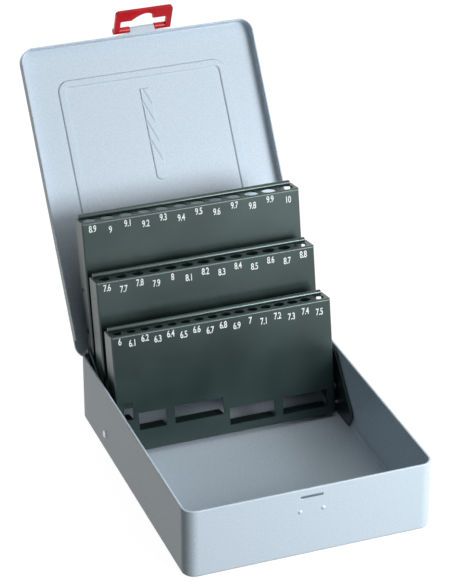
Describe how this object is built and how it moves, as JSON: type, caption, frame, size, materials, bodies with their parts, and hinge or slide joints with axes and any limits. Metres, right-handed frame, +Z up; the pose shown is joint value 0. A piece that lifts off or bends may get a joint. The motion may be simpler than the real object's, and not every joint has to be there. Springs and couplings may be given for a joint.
{
  "type": "drill bit case",
  "caption": "Flat sheet-steel case with a hinged lid, a swinging latch and three coupled tilting tiers of graded holes for straight-shank twist drills.",
  "frame": {"origin": "centre of the tray's underside", "axes": "+X right, +Y towards the hinge, +Z up"},
  "size_m": [0.1722, 0.3421, 0.2482],
  "materials": {
    "case_paint": "fine silver-grey paint, satin",
    "tier_black": "satin black",
    "latch_red": "gloss",
    "steel": "bright",
    "steel_dark": "blackened"
  },
  "bodies": {
    "tray": {"tray": "case_paint", "hinge_pin": "steel", "left_side_plate": "tier_black", "right_side_plate": "tier_black", "left_wall_rivet": "steel", "right_wall_rivet": "steel", "front_pivot_pin_left": "steel_dark", "front_pivot_pin_right": "steel_dark", "middle_pivot_pin_left": "steel_dark", "middle_pivot_pin_right": "steel_dark", "rear_pivot_pin_left": "steel_dark", "rear_pivot_pin_right": "steel_dark"},
    "lid": {"lid": "case_paint", "latch_pin": "steel"},
    "latch": {"latch": "latch_red"},
    "front_tier": {"front_tier_shell": "tier_black", "front_hole_strip": "tier_black", "front_guide_plate": "tier_black", "front_tie_pin_left": "steel_dark", "front_tie_pin_right": "steel_dark"},
    "middle_tier": {"middle_tier_shell": "tier_black", "middle_hole_strip": "tier_black", "middle_guide_plate": "tier_black", "middle_tie_pin_left": "steel_dark", "middle_tie_pin_right": "steel_dark"},
    "rear_tier": {"rear_tier_shell": "tier_black", "rear_hole_strip": "tier_black", "rear_guide_plate": "tier_black", "rear_tie_pin_left": "steel_dark", "rear_tie_pin_right": "steel_dark"},
    "left_tie_bar": {"left_tie_bar": "tier_black"},
    "right_tie_bar": {"right_tie_bar": "tier_black"}
  },
  "joints": [
    {"name": "lid_hinge", "type": "hinge", "parent": "tray", "child": "lid", "pos_m": [0, 0.1072, 0.0468], "axis": [1, 0, 0], "range_deg": [0, 123.6]},
    {"name": "latch_hinge", "type": "hinge", "parent": "lid", "child": "latch", "pos_m": [0, 0.22917, 0.23038], "axis": [1, 0, 0], "range_deg": [-56, 35.1]},
    {"name": "front_tier_swing", "type": "hinge", "parent": "tray", "child": "front_tier", "pos_m": [0, 0.0455, 0.009], "axis": [1, 0, 0], "range_deg": [0, 100]},
    {"name": "middle_tier_swing", "type": "hinge", "parent": "tray", "child": "middle_tier", "pos_m": [0, 0.0753, 0.0256], "axis": [1, 0, 0], "range_deg": [0, 100]},
    {"name": "rear_tier_swing", "type": "hinge", "parent": "tray", "child": "rear_tier", "pos_m": [0, 0.0998, 0.0397], "axis": [1, 0, 0], "range_deg": [0, 100]},
    {"name": "left_tie_bar_pivot", "type": "hinge", "parent": "front_tier", "child": "left_tie_bar", "pos_m": [-0.08025, 0.048, 0.02074], "axis": [1, 0, 0], "range_deg": [-100, 0]},
    {"name": "right_tie_bar_pivot", "type": "hinge", "parent": "front_tier", "child": "right_tie_bar", "pos_m": [0.08025, 0.048, 0.02074], "axis": [1, 0, 0], "range_deg": [-100, 0]}
  ],
  "couplings": [
    {"joint": "front_tier_swing", "follows": "lid_hinge", "ratio": 0.80906},
    {"joint": "middle_tier_swing", "follows": "lid_hinge", "ratio": 0.80906},
    {"joint": "rear_tier_swing", "follows": "lid_hinge", "ratio": 0.80906},
    {"joint": "left_tie_bar_pivot", "follows": "lid_hinge", "ratio": -0.80906},
    {"joint": "right_tie_bar_pivot", "follows": "lid_hinge", "ratio": -0.80906}
  ]
}
